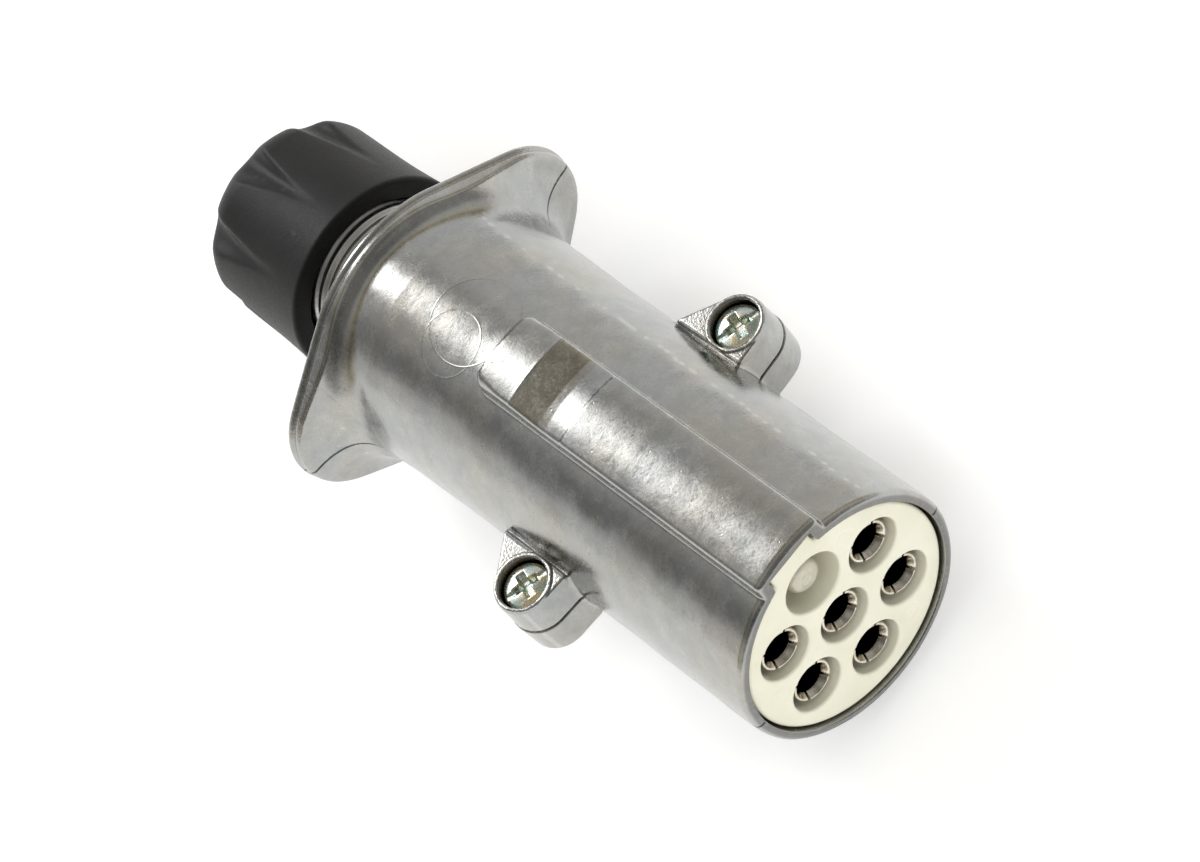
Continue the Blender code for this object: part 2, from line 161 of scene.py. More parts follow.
def surface_net(values, axes):
    """Points and quads round the zero level of a sampled field."""
    cells = np.array(values.shape) - 1
    inside = values < 0
    total = np.zeros((int(np.prod(cells)), 3))
    count = np.zeros(int(np.prod(cells)))
    quads = []
    strides = np.array((cells[1] * cells[2], cells[2], 1))
    for axis in range(3):
        low = [slice(None)] * 3
        high = [slice(None)] * 3
        low[axis] = slice(0, -1)
        high[axis] = slice(1, None)
        crossing = inside[tuple(low)] != inside[tuple(high)]
        for other in range(3):
            if other != axis:
                edge = [slice(None)] * 3
                edge[other] = 0
                crossing[tuple(edge)] = False
                edge[other] = -1
                crossing[tuple(edge)] = False
        at = np.argwhere(crossing)
        step = np.zeros(3, int)
        step[axis] = 1
        a = values[tuple(at.T)].astype(float)
        b = values[tuple((at + step).T)].astype(float)
        point = at.astype(float)
        point[:, axis] += a / (a - b)
        first, second = (axis + 1) % 3, (axis + 2) % 3
        corners = []
        for back_first, back_second in ((1, 1), (0, 1), (0, 0), (1, 0)):
            cell = at.copy()
            cell[:, first] -= back_first
            cell[:, second] -= back_second
            flat = cell @ strides
            corners.append(flat)
            for way in range(3):
                total[:, way] += np.bincount(flat, point[:, way], len(count))
            count += np.bincount(flat, minlength=len(count))
        faces = np.stack(corners, axis=1)
        faces[a > 0] = faces[a > 0][:, ::-1]
        quads.append(faces)
    used = np.flatnonzero(count)
    renumber = np.zeros(len(count), int)
    renumber[used] = np.arange(len(used))
    grid_points = total[used] / count[used, None]
    places = [np.interp(grid_points[:, i], np.arange(len(axes[i])), axes[i]) for i in range(3)]
    return np.stack(places, axis=1), renumber[np.concatenate(quads)]


def gradient(field, points, reach):
    slopes = []
    for way in range(3):
        step = np.zeros(3)
        step[way] = reach
        ahead = field(*(points + step).T)
        behind = field(*(points - step).T)
        slopes.append((ahead - behind) / (2 * reach))
    return np.stack(slopes, axis=1)


def settled(field, points, furthest):
    """The points moved onto the zero level of the field."""
    start = points.copy()
    for _ in range(4):
        slope = gradient(field, points, 0.02)
        steep = np.maximum((slope**2).sum(1), 0.05)
        points = points - slope * (field(*points.T) / steep)[:, None]
        drift = points - start
        length = np.linalg.norm(drift, axis=1)
        points = start + drift * np.minimum(1.0, furthest / np.maximum(length, 1e-9))[:, None]
    return points


def mesh_from(name, points, quads, normals):
    mesh = bpy.data.meshes.new(name)
    mesh.vertices.add(len(points))
    mesh.vertices.foreach_set("co", ((points + ORIGIN) * MM).astype(np.float32).ravel())
    mesh.loops.add(quads.size)
    mesh.loops.foreach_set("vertex_index", quads.astype(np.int32).ravel())
    mesh.polygons.add(len(quads))
    mesh.polygons.foreach_set("loop_start", np.arange(0, quads.size, 4, dtype=np.int32))
    mesh.update(calc_edges=True)
    mesh.shade_smooth()
    mesh.normals_split_custom_set_from_vertices(normals)
    return mesh


def piece(name, field, axes, look, body, nodes, reach=0.06, furthest=0.4):
    """One visible piece: meshed from its field, finished, riding on its body in place of its CAD nodes."""
    points, quads = surface_net(sampled(field, axes), axes)
    points = settled(field, points, furthest)
    slope = gradient(field, points, reach)
    normals = slope / np.maximum(np.linalg.norm(slope, axis=1), 1e-9)[:, None]
    made = bpy.data.objects.new(name, mesh_from(name, points, quads, normals))
    bpy.context.scene.collection.objects.link(made)
    made.data.materials.append(look)
    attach(made, body)
    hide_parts(*nodes)
    return made


# Cast shell -------------------------------------------------------------------------------------


def hull_lines(circles):
    """Half planes (nx, ny, offset) whose overlap is the convex hull of circles (x, y, radius)."""
    lines = []
    for step in range(96):
        angle = step * math.tau / 96
        nx, ny = math.cos(angle), math.sin(angle)
        lines.append((nx, ny, max(x * nx + y * ny + r for x, y, r in circles)))
    return lines


EAR_LINES = hull_lines(EAR_CIRCLES)


def ear_outline(across, y):
    outline = None
    for nx, ny, offset in EAR_LINES:
        line = across * nx + y * ny - offset
        outline = line if outline is None else np.maximum(outline, line)
    return outline


def flange_outline(x, z):
    """Distance to the flange's outline: a round middle joined to a smaller round wing each side."""
    slope = (FLANGE_RADIUS - WING_RADIUS) / WING_X
    rise = math.sqrt(1 - slope * slope)
    across, up = np.abs(x), np.abs(z)
    along = across * rise - up * slope
    middle = np.hypot(across, up) - FLANGE_RADIUS
    wing = np.hypot(across - WING_X, up) - WING_RADIUS
    straight = across * slope + up * rise - FLANGE_RADIUS
    return np.where(along < 0, middle, np.where(along > rise * WING_X, wing, straight))


def barrel_radius(y):
    return BARREL_RADIUS + BARREL_FLARE * np.clip((y - 62.0) / 28.0, 0.0, 1.0) ** 2


def unevenness(x, y, z):
    """Slight waves of a casting's skin, in millimetres."""
    waves = 0.0
    for kx, ky, kz, phase, size in (
        (0.31, 0.17, 0.23, 0.4, 0.030),
        (-0.22, 0.36, 0.41, 1.9, 0.022),
        (0.53, -0.44, 0.19, 3.1, 0.014),
        (0.12, 0.71, -0.62, 5.2, 0.009),
        (-0.83, 0.35, 0.47, 2.2, 0.007),
    ):
        waves = waves + size * np.sin(kx * x + ky * y + kz * z + phase)
    return waves


def flange_edge(x, y, z):
    """The flange's rim: a rounded bead with a fine groove in front of it."""
    bead = 0.3 * np.exp(-(((y - 101.0) / 0.55) ** 4)) - 0.12 * np.exp(-(((y - 100.1) / 0.22) ** 2))
    return flange_outline(x, z) - bead


def flange(x, y, z):
    """The flange as a plate of endless depth, which casting() cuts at its back face."""
    return smooth_max(flange_edge(x, y, z), FLANGE_FRONT - y, 1.3)


def neck(x, y, z):
    """The threaded neck, whose ridges fade out at the parting line and past the nut's mouth."""
    r = np.hypot(x, z)
    turn = np.arctan2(x, z) / math.tau
    phase = ((y - FLANGE_BACK - 0.3) / THREAD_PITCH - turn) % 1.0
    ridge = 0.5 - 0.5 * np.cos(math.tau * phase)
    near_parting = ease(0.8, 3.0, np.abs(z) - 0.12 * np.abs(x))
    ridge = ridge * near_parting * ease(FLANGE_BACK + 0.4, FLANGE_BACK + 1.6, y)
    ridge = ridge * (1 - ease(116.0, 118.0, y))
    tube = r - NECK_CORE - (NECK_RADIUS - NECK_CORE) * ridge
    return smooth_max(tube, y - NECK_BACK, 0.8)


def rib(x, y, z):
    """The key rib with its latch pad, dished between y = 46 and y = 57."""
    half = RIB_HALF + 0.12 - 0.11 * (z - 20.5)
    corner = 1.9
    side = np.abs(x) - half + corner
    rear = y - RIB_BACK + corner
    plan = np.minimum(np.maximum(side, rear), 0.0) - corner
    plan = plan + np.hypot(np.maximum(side, 0.0), np.maximum(rear, 0.0))
    top = np.hypot(x, z) - np.interp(y, RIB_PROFILE_Y, RIB_PROFILE_R)
    solid = smooth_max(plan, top, 0.7 + 0.8 * ease(60.0, 65.0, y))
    return np.maximum(solid, 12.0 - z)


def ear(x, y, z):
    """Both screw ears, with a raised ring round each well."""
    across = np.abs(x)
    draft = 0.035 * (7.0 - np.abs(z)) + np.where(z < 0, 0.2, 0.0)
    outline = ear_outline(across, y) - draft
    from_screw = np.hypot(across - SCREW_X, y - SCREW_Y)
    ring = 0.34 * (1 - ease(4.95, 5.2, from_screw))
    top = EAR_TOP - 0.34 + ring
    solid = smooth_max(outline, z - top, 0.45)
    solid = smooth_max(solid, EAR_BOTTOM - z, 0.6)
    return smooth_max(solid, EAR_INNER - across, 0.5)


def casting(x, y, z):
    """The outside of both half shells together, without the cavity."""
    r = np.maximum(np.hypot(x, z), 1e-6)
    barrel = r - barrel_radius(y) - unevenness(x, y, z)
    fillet = 2.6 + 8.0 * (x / r) ** 2
    body = smooth_min(barrel, flange(x, y, z), fillet)
    body = smooth_max(body, flange_edge(x, y, z), 0.4)
    body = smooth_max(body, y - FLANGE_BACK, 0.9)
    body = smooth_min(body, neck(x, y, z), 0.7)
    body = smooth_min(body, ear(x, y, z), 0.9)
    body = smooth_min(body, rib(x, y, z), 0.35)
    body = smooth_max(body, -y, 1.3)
    across = np.abs(x)
    from_screw = np.hypot(across - SCREW_X, y - SCREW_Y)
    well = smooth_max(from_screw - WELL_RADIUS, WELL_FLOOR_Z - z, 0.3)
    body = smooth_max(body, -well, 0.3)
    return np.maximum(body, 2.4 - from_screw)


def cavity(x, y, z):
    """The inside of the shell, with the groove of the carrier's key."""
    r = np.hypot(x, z)
    radius = np.interp(
        y,
        (34.2, 34.5, 36.2, 36.5, 91.0, 101.0, 111.6, 111.9),
        (SHELL_BORE, 18.2, 18.2, 19.3, 19.3, 9.5, 9.5, 11.5),
    )
    bore = r - radius
    groove = smooth_max(np.abs(x) - KEY_HALF - 0.3, z - KEY_TOP - 0.3, 0.6)
    groove = np.maximum(np.maximum(groove, 10.0 - z), y - 34.3)
    return smooth_min(bore, groove, 0.4)


def shell(sign):
    """The field of the upper (1) or lower (-1) half shell."""

    def field(x, y, z):
        solid = smooth_max(casting(x, y, z), -cavity(x, y, z), 0.35)
        return smooth_max(solid, PARTING_HALF - sign * z, 0.22)

    return field


def shells(look):
    across = even(-34.2, 34.2, 0.36)
    front, barrel, pad = (-0.6, 2.0, 0.2), (2.0, 40.0, 0.45), (40.0, 68.0, 0.3)
    rear, flange_part, neck_end = (68.0, 96.0, 0.45), (96.0, 117.0, 0.25), (117.0, 126.0, 0.6)
    along = graded(front, barrel, pad, rear, flange_part, neck_end)
    for name, sign in (("upper_shell", 1.0), ("lower_shell", -1.0)):
        up = graded((-0.2, 3.0, 0.2), (3.0, 25.9, 0.3))
        if sign < 0:
            up = -up[::-1]
        piece(name + "_skin", shell(sign), (across, along, up), look, "plug_shell", [name])


# Carrier and contacts ---------------------------------------------------------------------------


def clock(angle, radius=PITCH_CIRCLE):
    """The (x, z) of a place at a clock angle in degrees from the key."""
    turn = math.radians(angle)
    return radius * math.sin(turn), radius * math.cos(turn)


# Each contact's (x, z) and the clock angle its clamp screw faces: one in the middle, the rest on a circle
SOCKETS = [(0.0, 0.0, 30.0)] + [(*clock(60.0 * step), 60.0 * step) for step in range(1, 6)]
PIN = (*clock(0.0), 0.0)
WELLS = [(cx, cz, SOCKET_WELL) for cx, cz, _ in SOCKETS] + [(PIN[0], PIN[1], PIN_WELL)]


def carrier(x, y, z):
    r = np.hypot(x, z)
    disc = r - CARRIER_RADIUS
    key = np.maximum(np.maximum(np.abs(x) - KEY_HALF, z - KEY_TOP), 10.0 - z)
    key = np.maximum(key, y - CARRIER_BACK + 1.0)
    body = smooth_min(disc, key, 0.5)
    face = CARRIER_FRONT - y
    for angle in (30.0, 150.0, 270.0):
        cx, cz = clock(angle, 15.2)
        mark = np.hypot(x - cx, z - cz)
        face = face + 0.05 * np.exp(-(((mark - 1.5) / 0.16) ** 2))
    body = smooth_max(body, face, 0.7)
    body = smooth_max(body, y - CARRIER_BACK, 0.5)
    for cx, cz, well_radius in WELLS:
        away = np.hypot(x - cx, z - cz)
        well = smooth_max(away - well_radius, y - CONTACT_WELL_FLOOR, 0.4)
        seat = away - CONTACT_RADIUS - 0.3
        body = smooth_max(body, -smooth_min(well, seat, 0.2), 0.55)
    return body


def terminal(x, y, z, cx, cz, angle, body):
    """Cuts a contact's wire hole and the hole of its clamp screw."""
    away = np.hypot(x - cx, z - cz)
    wire = np.maximum(away - 2.0, 35.0 - y)
    turn = math.radians(angle)
    out = (x - cx) * math.sin(turn) + (z - cz) * math.cos(turn)
    side = (x - cx) * math.cos(turn) - (z - cz) * math.sin(turn)
    clamp = np.maximum(np.hypot(side, y - TERMINAL_Y) - 1.55, -out)
    return smooth_max(smooth_max(body, -wire, 0.2), -clamp, 0.15)


def socket(cx, cz, angle):
    def field(x, y, z):
        away = np.hypot(x - cx, z - cz)
        body = smooth_max(away - CONTACT_RADIUS, CONTACT_FRONT - y, 0.35)
        body = smooth_max(body, y - CONTACT_BACK, 0.4)
        mouth = SOCKET_BORE + 0.7 * (1 - np.clip((y - CONTACT_FRONT) / 1.1, 0.0, 1.0))
        bore = smooth_max(away - mouth, y - 24.0, 0.3)
        body = smooth_max(body, -bore, 0.12)
        for lean in (1.0, -1.0):
            gap = np.abs((x - cx) - lean * (z - cz)) / math.sqrt(2) - 0.2
            body = smooth_max(body, -np.maximum(gap, y - 16.0), 0.08)
        return terminal(x, y, z, cx, cz, angle, body)

    return field


def pin(x, y, z):
    cx, cz, angle = PIN
    away = np.hypot(x - cx, z - cz)
    shaft = away - np.where(y < CONTACT_WELL_FLOOR + 1.0, PIN_RADIUS, CONTACT_RADIUS)
    ring_mark = 0.12 * np.exp(-(((away - 1.0) / 0.2) ** 2))
    crown = PIN_TIP + 0.35 * (away / PIN_RADIUS) ** 2 - ring_mark - y
    dimple = np.sqrt(away**2 + ((y - PIN_TIP + 0.1) / 0.8) ** 2) - 0.3
    body = smooth_max(shaft, crown, 1.3)
    body = smooth_max(body, -dimple, 0.15)
    body = smooth_max(body, y - CONTACT_BACK, 0.4)
    return terminal(x, y, z, cx, cz, angle, body)


def contacts(look, pin_look):
    for number, (cx, cz, angle) in enumerate(SOCKETS, start=1):
        axes = contact_axes(cx, cz)
        name = f"socket_contact_{number}"
        piece(name + "_turned", socket(cx, cz, angle), axes, look, "plug_shell", [name], 0.03, 0.2)
    axes = contact_axes(PIN[0], PIN[1])
    piece("pin_contact_turned", pin, axes, pin_look, "plug_shell", ["pin_contact"], 0.03, 0.2)


def contact_axes(cx, cz):
    across = even(-4.1, 4.1, 0.14)
    along = graded((1.8, 5.2, 0.13), (5.2, 17.0, 0.5), (17.0, 38.0, 0.9), (38.0, 46.6, 0.3))
    return across + cx, along, across + cz


# Screws -----------------------------------------------------------------------------------------

SCREW_TURN = math.radians(-19.0)
HEAD_RADIUS = 4.12
HEAD_SEAT = 2.6
HEAD_TOP = 6.0


def shell_screw(sign):
    def field(x, y, z):
        dx, dy = x - sign * SCREW_X, y - SCREW_Y
        away = np.hypot(dx, dy)
        crown = z - HEAD_TOP + 0.55 * (away / HEAD_RADIUS) ** 2
        head = smooth_max(away - HEAD_RADIUS, crown, 0.7)
        head = smooth_max(head, HEAD_SEAT - z, 0.2)
        thread = 0.18 * np.cos(math.tau * (z / 0.7 - np.arctan2(dy, dx) / math.tau))
        shank = smooth_max(away - 1.86 + thread * (z < 1.0), -6.4 - z, 0.5)
        shank = np.maximum(shank, z - HEAD_SEAT - 0.5)
        body = smooth_min(head, shank, 0.2)
        u = dx * math.cos(SCREW_TURN) + dy * math.sin(SCREW_TURN)
        v = dy * math.cos(SCREW_TURN) - dx * math.sin(SCREW_TURN)
        slot = np.maximum(np.abs(v) - 0.45, HEAD_TOP - 0.75 - z)
        taper = 0.25 * (HEAD_TOP - z)
        cross = smooth_max(np.abs(u) - 0.75 + 0.5 * taper, np.abs(v) - 2.5 + 2.4 * taper, 0.2)
        cross = np.maximum(cross, HEAD_TOP - 1.6 - z)
        middle = smooth_max(np.abs(v) - 0.75 + 0.5 * taper, np.abs(u) - 2.5 + 2.4 * taper, 0.2)
        middle = np.maximum(middle, HEAD_TOP - 1.6 - z)
        recess = smooth_min(smooth_min(slot, cross, 0.15), middle, 0.15)
        return smooth_max(body, -recess, 0.22)

    return field


def shell_screws(look):
    for side, sign in (("right", 1.0), ("left", -1.0)):
        across = even(-4.4, 4.4, 0.12)
        axes = (across + sign * SCREW_X, across + SCREW_Y, graded((-6.8, 2.2, 0.2), (2.2, 6.4, 0.1)))
        name = "shell_screw_" + side
        piece(name + "_plated", shell_screw(sign), axes, look, name, [name], 0.03, 0.2)


# Gland nut --------------------------------------------------------------------------------------


def nut(x, y, z):
    """The gland nut: flutes that widen towards its rounded back, a threaded bore and a cable hole."""
    r = np.hypot(x, z)
    corner_y = NUT_BACK - NUT_CORNER_LENGTH
    corner_r = NUT_BODY - NUT_CORNER_HEIGHT
    flare = np.clip(1 - (y - NUT_FRONT) / NUT_FLARE_LENGTH, 0.0, 1.0) ** 2
    side = r - NUT_BODY - (NUT_MOUTH - NUT_BODY) * flare
    round_off = np.hypot((y - corner_y) / NUT_CORNER_LENGTH, (r - corner_r) / NUT_CORNER_HEIGHT) - 1
    rear = np.where(r > corner_r, round_off * NUT_CORNER_HEIGHT, (y - NUT_BACK) * 1.2)
    outer = np.where(y > corner_y, rear, side)
    spacing = math.tau / FLUTES
    turn = (np.arctan2(x, z) - math.radians(3.0) + spacing / 2) % spacing - spacing / 2
    grown = (y - FLUTE_TIP) / (NUT_BACK - FLUTE_TIP)
    radius = 0.5 + 3.9 * np.clip(grown, 0.0, 1.3)
    height = r * np.cos(turn) - NUT_BODY - radius + FLUTE_DEPTH * grown
    across = r * np.sin(turn) + FLUTE_LEAN * (height + radius)
    flute = np.hypot(across, height) - radius
    body = smooth_max(outer, -flute, 1.3)
    body = smooth_max(body, NUT_FRONT - y, 0.9)
    mouth = NUT_BORE + 0.5 * (1 - ease(NUT_FRONT, NUT_FRONT + 0.8, y))
    phase = (y / THREAD_PITCH - np.arctan2(x, z) / math.tau) % 1.0
    thread = 0.25 * ease(0.1, 0.4, phase) * (1 - ease(0.6, 0.9, phase))
    bore = np.maximum(r - mouth - thread, y - NUT_SHOULDER)
    hole = r - CABLE_OPENING - 0.8 * ease(NUT_BACK - 1.2, NUT_BACK, y)
    return smooth_max(body, -smooth_min(bore, hole, 0.3), 0.4)


def gland_nut(look):
    across = even(-18.9, 18.9, 0.3)
    along = graded((113.4, 117.0, 0.25), (117.0, 134.0, 0.45), (134.0, 142.9, 0.25))
    axes = (across, along, across)
    piece("gland_nut_moulded", nut, axes, look, "gland_nut", ["gland_nut"])


# Materials --------------------------------------------------------------------------------------


class Look:
    """A material under construction. Its methods return output sockets."""

    def __init__(self, name, metallic, roughness):
        self.material = bpy.data.materials.new(name)
        self.material.use_nodes = True
        self.nodes = self.material.node_tree.nodes
        self.links = self.material.node_tree.links
        self.shader = self.nodes["Principled BSDF"]
        self.shader.inputs["Metallic"].default_value = metallic
        self.shader.inputs["Roughness"].default_value = roughness
        self.place = self.nodes.new("ShaderNodeTexCoord").outputs["Object"]

    def feed(self, socket, value):
        if isinstance(value, bpy.types.NodeSocket):
            self.links.new(value, socket)
        elif isinstance(value, tuple) and len(value) == 3 and socket.type == "RGBA":
            socket.default_value = (*value, 1.0)
        else:
            socket.default_value = value

    def plug_place(self):
        """The three plug coordinates, in millimetres."""
        split = self.nodes.new("ShaderNodeSeparateXYZ")
        self.links.new(self.place, split.inputs[0])
        places = []
        for socket, start in zip(split.outputs, ORIGIN):
            scaled = self.math("DIVIDE", socket, MM)
            places.append(self.math("SUBTRACT", scaled, float(start)))
        return places

    def stretched(self, sizes, turn=(0.0, 0.0, 0.0)):
        """Coordinates scaled so that one unit is sizes, in millimetres, after a turn."""
        made = self.nodes.new("ShaderNodeMapping")
        made.vector_type = "TEXTURE"
        made.inputs["Scale"].default_value = [size * MM for size in sizes]
        made.inputs["Rotation"].default_value = turn
        self.links.new(self.place, made.inputs["Vector"])
        return made.outputs["Vector"]

    def noise(self, size, detail=3.0, roughness=0.55, distortion=0.0, turn=(0.0, 0.0, 0.0)):
        sizes = size if isinstance(size, tuple) else (size, size, size)
        made = self.nodes.new("ShaderNodeTexNoise")
        self.links.new(self.stretched(sizes, turn), made.inputs["Vector"])
        made.inputs["Scale"].default_value = 1.0
        made.inputs["Detail"].default_value = detail
        made.inputs["Roughness"].default_value = roughness
        made.inputs["Distortion"].default_value = distortion
        return made.outputs["Fac"]

    def spots(self, size, turn=(0.0, 0.0, 0.0)):
        made = self.nodes.new("ShaderNodeTexVoronoi")
        self.links.new(self.stretched((size, size, size), turn), made.inputs["Vector"])
        made.inputs["Scale"].default_value = 1.0
        return made.outputs["Distance"]

    def map(self, value, low, high, to_low=0.0, to_high=1.0):
        made = self.nodes.new("ShaderNodeMapRange")
        for socket, number in zip(made.inputs, (value, low, high, to_low, to_high)):
            self.feed(socket, number)
        return made.outputs["Result"]

    def math(self, operation, a, b):
        made = self.nodes.new("ShaderNodeMath")
        made.operation = operation
        self.feed(made.inputs[0], a)
        self.feed(made.inputs[1], b)
        return made.outputs["Value"]

    def mix(self, share, a, b, kind="MIX"):
        made = self.nodes.new("ShaderNodeMix")
        made.data_type = "RGBA"
        made.blend_type = kind
        self.feed(made.inputs["Factor"], share)
        self.feed(made.inputs["A"], a)
        self.feed(made.inputs["B"], b)
        return made.outputs["Result"]

    def ramp(self, value, stops):
        made = self.nodes.new("ShaderNodeValToRGB")
        elements = made.color_ramp.elements
        while len(elements) < len(stops):
            elements.new(0.5)
        for element, (at, colour) in zip(elements, stops):
            element.position = at
            element.color = (*colour, 1.0)
        self.links.new(value, made.inputs["Fac"])
        return made.outputs["Color"]

    def bump(self, height, depth, strength=1.0, normal=None):
        """A bump whose full height is depth millimetres."""
        made = self.nodes.new("ShaderNodeBump")
        made.inputs["Strength"].default_value = strength
        made.inputs["Distance"].default_value = depth * MM
        self.links.new(height, made.inputs["Height"])
        if normal is not None:
            self.links.new(normal, made.inputs["Normal"])
        return made.outputs["Normal"]

    def edges(self, low, high):
        """How sharply the mesh turns outwards, from 0 to 1."""
        made = self.nodes.new("ShaderNodeNewGeometry")
        return self.map(made.outputs["Pointiness"], low, high)

    def done(self, colour, roughness=None, normal=None):
        self.feed(self.shader.inputs["Base Color"], colour)
        if roughness is not None:
            self.feed(self.shader.inputs["Roughness"], roughness)
        if normal is not None:
            self.links.new(normal, self.shader.inputs["Normal"])
        return self.material


# Centre and radius of the hairline rings that ejectors left on the barrel, in plug millimetres
EJECTOR_RINGS = (((1.1, 75.4, 21.6), 7.9), ((-4.0, 76.4, 21.2), 5.6))


def scratches(look, length, turn):
    """Fine straight marks: the peaks of a much stretched noise."""
    lines = look.noise((0.09, length, 3.0), 1.0, 0.4, 0.0, turn)
    return look.map(lines, 0.66, 0.74)


def cast_metal():
    look = Look("cast_aluminium", 1.0, 0.25)
    x, y, z = look.plug_place()
    neck_part = look.map(y, FLANGE_BACK, FLANGE_BACK + 0.4)
    # The front rim, where a dark reflection is painted in below.
    rim = look.map(y, 0.24, 0.06)
    broad = look.noise(14.0, 3.0)
    patch = look.noise(3.2, 4.0, 0.6, 0.4)
    speckle = look.noise(0.5, 3.0, 0.65)
    grain = look.noise(0.16, 2.0, 0.6)
    # Convex edges are painted lighter: rubbed wear, and partly a painted highlight along the edge lines.
    lighter_edges = look.edges(0.53, 0.62)
    # Painted shade: concave creases and the feet of walls are darkened, less on the neck and on the ears'
    # inner walls.
    painted_crease_shade = look.math("MULTIPLY", look.edges(0.48, 0.4), look.map(neck_part, 0.0, 1.0, 1.0, 0.15))
    painted_crease_shade = look.math("MULTIPLY", painted_crease_shade, look.map(look.math("ABSOLUTE", x, 0.0), 19.2, 20.4, 1.0, 0.35))
    long_marks = scratches(look, 7.0, (0.3, 0.2, 0.9))
    short_marks = scratches(look, 5.0, (1.1, 0.6, -0.5))
    marks = look.math("MAXIMUM", long_marks, short_marks)
    pebbled = ear_face(look, x, y, z)
    darker, middling, lighter = (0.355, 0.358, 0.35), (0.415, 0.415, 0.402), (0.47, 0.469, 0.455)
    colour = look.ramp(patch, ((0.3, darker), (0.55, middling), (0.75, lighter)))
    cool, neutral, warm = (0.96, 0.985, 1.0), (1.0, 1.0, 1.0), (1.0, 0.985, 0.95)
    tint = look.ramp(broad, ((0.38, cool), (0.5, neutral), (0.62, warm)))
    colour = look.mix(1.0, colour, tint, "MULTIPLY")
    colour = look.mix(look.map(speckle, 0.46, 0.3, 0.0, 0.45), colour, (0.26, 0.26, 0.25))
    colour = look.mix(look.math("MULTIPLY", lighter_edges, 0.35), colour, (0.66, 0.65, 0.63))
    # Painted shade in the creases.
    colour = look.mix(look.math("MULTIPLY", painted_crease_shade, 0.55), colour, (0.18, 0.175, 0.168))
    # Painted light: the neck is lightened so that its threads, which face the dark nut, look bright.
    colour = look.mix(look.math("MULTIPLY", neck_part, 0.6), colour, (0.72, 0.72, 0.71))
    # Painted dark reflection: the rim round the carrier is darkened.
    colour = look.mix(look.math("MULTIPLY", rim, 0.7), colour, (0.15, 0.15, 0.15))
    rough = look.map(speckle, 0.3, 0.7, 0.17, 0.27)
    rough = look.math("ADD", rough, look.map(patch, 0.35, 0.65, -0.03, 0.04))
    rough = look.math("ADD", rough, look.math("MULTIPLY", marks, 0.05))
    rough = look.math("ADD", rough, look.math("MULTIPLY", neck_part, 0.1))
    normal = look.bump(broad, 0.08)
    normal = look.bump(patch, 0.03, 1.0, normal)
    normal = look.bump(speckle, 0.008, 1.0, normal)
    normal = look.bump(grain, 0.004, 1.0, normal)
    pits = look.map(look.spots(2.3), 0.03, 0.1)
    normal = look.bump(pits, 0.015, 1.0, normal)
    normal = look.bump(marks, 0.0006, 1.0, normal)
    normal = look.bump(look.math("MULTIPLY", look.noise(0.35, 2.0, 0.5), pebbled), 0.05, 1.0, normal)
    for at, radius in EJECTOR_RINGS:
        normal = look.bump(hairline_ring(look, (x, y, z), at, radius), 0.018, 1.0, normal)
    return look.done(colour, rough, normal)


def hairline_ring(look, place, at, radius):
    """1 on the hairline circle that an ejector left on the skin, 0 elsewhere."""
    total = 0.0
    for along, centre in zip(place, at):
        away = look.math("SUBTRACT", along, centre)
        total = look.math("ADD", look.math("MULTIPLY", away, away), total)
    distance = look.math("SQRT", total, 0.0)
    off = look.math("ABSOLUTE", look.math("SUBTRACT", distance, radius), 0.0)
    return look.map(off, 0.05, 0.16, 1.0, 0.0)


def ear_face(look, x, y, z):
    """1 on the pebbled top faces of the two ears outside the ring round each screw, 0 elsewhere."""
    across = look.math("ABSOLUTE", x, 0.0)
    outer = look.map(across, EAR_INNER + 0.3, EAR_INNER + 0.7)
    low = look.map(z, EAR_TOP - 0.75, EAR_TOP - 0.5)
    dx = look.math("SUBTRACT", across, SCREW_X)
    dy = look.math("SUBTRACT", y, SCREW_Y)
    squared = look.math("ADD", look.math("MULTIPLY", dx, dx), look.math("MULTIPLY", dy, dy))
    ringless = look.map(squared, 5.25**2, 5.4**2)
    return look.math("MULTIPLY", look.math("MULTIPLY", outer, low), ringless)


def cream_plastic():
    look = Look("cream_plastic", 0.0, 0.45)
    broad = look.noise(9.0, 3.0)
    speckle = look.noise(0.6, 3.0)
    dust = look.map(look.spots(1.1), 0.09, 0.03)
    # Painted shade: the plastic's creases and the walls of the contact wells are darkened.
    painted_crease_shade = look.edges(0.49, 0.42)
    colour = look.ramp(broad, ((0.35, (0.735, 0.715, 0.575)), (0.65, (0.79, 0.775, 0.645))))
    colour = look.mix(look.math("MULTIPLY", painted_crease_shade, 0.45), colour, (0.48, 0.42, 0.30))
    colour = look.mix(look.math("MULTIPLY", dust, 0.25), colour, (0.45, 0.42, 0.36))
    normal = look.bump(broad, 0.08)
    normal = look.bump(speckle, 0.012, 1.0, normal)
    look.shader.inputs["Subsurface Weight"].default_value = 0.12
    look.shader.inputs["Subsurface Radius"].default_value = (0.0012, 0.001, 0.0006)
    return look.done(colour, look.map(speckle, 0.3, 0.7, 0.36, 0.52), normal)


def black_plastic():
    look = Look("black_plastic", 0.0, 0.5)
    broad = look.noise(12.0, 3.0)
    patch = look.noise(2.4, 3.0)
    grain = look.noise(0.35, 3.0, 0.7)
    lighter_edges = look.edges(0.52, 0.58)
    colour = look.ramp(broad, ((0.35, (0.006, 0.006, 0.0065)), (0.65, (0.012, 0.012, 0.0125))))
    colour = look.mix(look.map(grain, 0.5, 0.75, 0.0, 0.4), colour, (0.024, 0.024, 0.025))
    colour = look.mix(look.math("MULTIPLY", lighter_edges, 0.35), colour, (0.05, 0.05, 0.051))
    # Painted shade: the nut's front face, which the flange shades, is painted near black.
    mouth = look.map(look.plug_place()[1], NUT_FRONT + 0.55, NUT_FRONT + 0.25)
    colour = look.mix(mouth, colour, (0.002, 0.002, 0.0025))
    normal = look.bump(patch, 0.05)
    normal = look.bump(grain, 0.03, 1.0, normal)
    look.shader.inputs["Specular IOR Level"].default_value = 0.38
    return look.done(colour, look.map(grain, 0.3, 0.7, 0.42, 0.6), normal)


